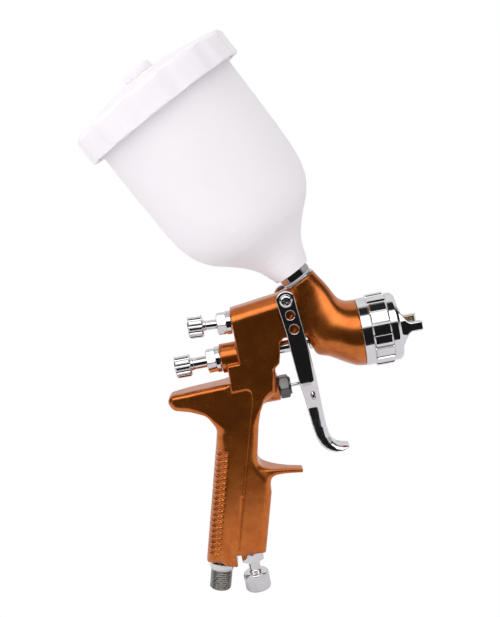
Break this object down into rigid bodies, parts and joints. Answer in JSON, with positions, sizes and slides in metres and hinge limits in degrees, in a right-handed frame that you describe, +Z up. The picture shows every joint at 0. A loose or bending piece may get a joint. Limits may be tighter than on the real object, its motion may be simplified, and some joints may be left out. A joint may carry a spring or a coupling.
{
  "type": "gravity-feed spray gun",
  "caption": "Copper-coloured gravity-feed paint spray gun with chrome fittings, a pull trigger, turning knobs and a tilted milky plastic cup with a screw lid.",
  "frame": {"origin": "on the needle's line inside the body block, above the grip, where a hand or clamp round the body carries the gun", "axes": "+X is the spray direction along the needle, +Z is up, square to the needle, +Y is the gun's left side"},
  "size_m": [0.1754, 0.104, 0.3316],
  "materials": {
    "copper_body": "satin copper-coloured anodised or lacquered aluminium",
    "chrome": "polished chrome plate",
    "dark_nickel": "dark nickel plate",
    "grey_steel": "dull turned steel",
    "spring_steel": "bright spring wire",
    "brass": "turned brass",
    "milky_plastic": "milky translucent polypropylene",
    "seal_plastic": "white sealing plastic",
    "black_rubber": "black rubber"
  },
  "bodies": {
    "root": {"gun_body": "copper_body", "neck_adapter": "chrome", "fluid_nozzle": "brass", "air_distributor": "brass", "distributor_seal": "seal_plastic", "needle_packing": "seal_plastic", "packing_nut": "chrome", "fluid_guide_nut": "chrome", "fan_valve_nut": "chrome", "fan_seal": "black_rubber", "air_valve_nut": "dark_nickel", "air_valve_seat": "brass", "air_valve_packing": "seal_plastic", "air_valve_spring": "spring_steel", "air_control_nut": "chrome", "air_control_seal": "black_rubber", "air_inlet_nipple": "grey_steel", "inlet_collar": "chrome", "pivot_sleeve": "brass", "pivot_screw_right": "chrome", "pivot_screw_left": "chrome"},
    "trigger": {"trigger": "chrome"},
    "needle": {"fluid_needle": "chrome", "needle_collar": "chrome"},
    "air_valve": {"air_valve_stem": "chrome", "air_valve_poppet": "brass"},
    "fluid_feed": {"needle_spring_cap": "brass", "needle_spring": "spring_steel"},
    "fluid_knob": {"fluid_knob": "chrome"},
    "fan_feed": {"fan_needle": "brass"},
    "fan_knob": {"fan_knob": "chrome"},
    "air_control_feed": {"air_control_needle": "brass"},
    "air_control_knob": {"air_control_knob": "chrome"},
    "ring_feed": {"ring_clip": "spring_steel"},
    "retaining_ring": {"retaining_ring": "chrome"},
    "air_cap": {"air_cap": "chrome"},
    "cup_feed": {"cup_gasket": "seal_plastic"},
    "cup": {"cup": "milky_plastic", "cup_thread_insert": "chrome", "paint_strainer": "seal_plastic"},
    "lid_feed": {"lid_gasket": "seal_plastic"},
    "lid": {"lid": "milky_plastic"},
    "vent_cap": {"vent_cap": "milky_plastic"}
  },
  "joints": [
    {"name": "trigger_pull", "type": "hinge", "parent": "root", "child": "trigger", "pos_m": [0.0213, 0, 0.029], "axis": [0, 1, 0], "range_deg": [0, 8], "stiffness_Nm_per_rad": 1, "springref_deg": -11.46},
    {"name": "needle_pull", "type": "slide", "parent": "root", "child": "needle", "axis": [-1, 0, 0], "range_m": [0, 0.0048], "deforming": ["needle_spring"]},
    {"name": "air_valve_push", "type": "slide", "parent": "root", "child": "air_valve", "axis": [-1, 0, 0], "range_m": [0, 0.0077], "deforming": ["air_valve_spring"]},
    {"name": "fluid_knob_feed", "type": "slide", "parent": "root", "child": "fluid_feed", "axis": [1, 0, 0], "range_m": [-0.0016, 0.0031]},
    {"name": "fluid_knob_turn", "type": "hinge", "parent": "fluid_feed", "child": "fluid_knob", "pos_m": [-0.045, 0, 0], "axis": [1, 0, 0], "range_deg": [-540, 1080]},
    {"name": "fan_knob_feed", "type": "slide", "parent": "root", "child": "fan_feed", "axis": [0.9981, 0, -0.061], "range_m": [-0.0031, 0.0021]},
    {"name": "fan_knob_turn", "type": "hinge", "parent": "fan_feed", "child": "fan_knob", "pos_m": [-0.012, 0, 0.02035], "axis": [0.9981, 0, -0.061], "range_deg": [-1080, 720]},
    {"name": "air_control_feed", "type": "slide", "parent": "root", "child": "air_control_feed", "axis": [0, 0, 1], "range_m": [-0.0031, 0.0021]},
    {"name": "air_control_turn", "type": "hinge", "parent": "air_control_feed", "child": "air_control_knob", "pos_m": [-0.02704, 0, -0.12], "axis": [0, 0, 1], "range_deg": [-1080, 720]},
    {"name": "ring_feed", "type": "slide", "parent": "root", "child": "ring_feed", "axis": [1, 0, 0], "range_m": [0, 0.0076]},
    {"name": "ring_turn", "type": "hinge", "parent": "ring_feed", "child": "retaining_ring", "pos_m": [0.07, 0, 0], "axis": [1, 0, 0], "range_deg": [0, 1800]},
    {"name": "air_cap_turn", "type": "hinge", "parent": "ring_feed", "child": "air_cap", "pos_m": [0.08, 0, 0], "axis": [1, 0, 0], "continuous": true},
    {"name": "cup_feed", "type": "slide", "parent": "root", "child": "cup_feed", "axis": [-0.454, 0, 0.891], "range_m": [0, 0.0068]},
    {"name": "cup_turn", "type": "hinge", "parent": "cup_feed", "child": "cup", "pos_m": [0.0312, 0, 0.0374], "axis": [-0.454, 0, 0.891], "range_deg": [0, 1800]},
    {"name": "lid_lift", "type": "slide", "parent": "cup", "child": "lid_feed", "axis": [-0.454, 0, 0.891], "range_m": [0, 0.0121]},
    {"name": "lid_turn", "type": "hinge", "parent": "lid_feed", "child": "lid", "pos_m": [0.0312, 0, 0.0374], "axis": [-0.454, 0, 0.891], "range_deg": [0, 720]},
    {"name": "vent_lift", "type": "slide", "parent": "lid", "child": "vent_cap", "axis": [-0.454, 0, 0.891], "range_m": [0, 0.003]}
  ],
  "couplings": [
    {"joint": "needle_pull", "follows": "trigger_pull", "m_per_rad": 0.0335},
    {"joint": "air_valve_push", "follows": "trigger_pull", "m_per_rad": 0.054},
    {"joint": "fluid_knob_feed", "follows": "fluid_knob_turn", "m_per_rad": 0.00015915},
    {"joint": "fan_knob_feed", "follows": "fan_knob_turn", "m_per_rad": 0.00015915},
    {"joint": "air_control_feed", "follows": "air_control_turn", "m_per_rad": 0.00015915},
    {"joint": "ring_feed", "follows": "ring_turn", "m_per_rad": 0.00023873},
    {"joint": "cup_feed", "follows": "cup_turn", "m_per_rad": 0.00021279},
    {"joint": "lid_lift", "follows": "lid_turn", "m_per_rad": 0.00095493}
  ]
}
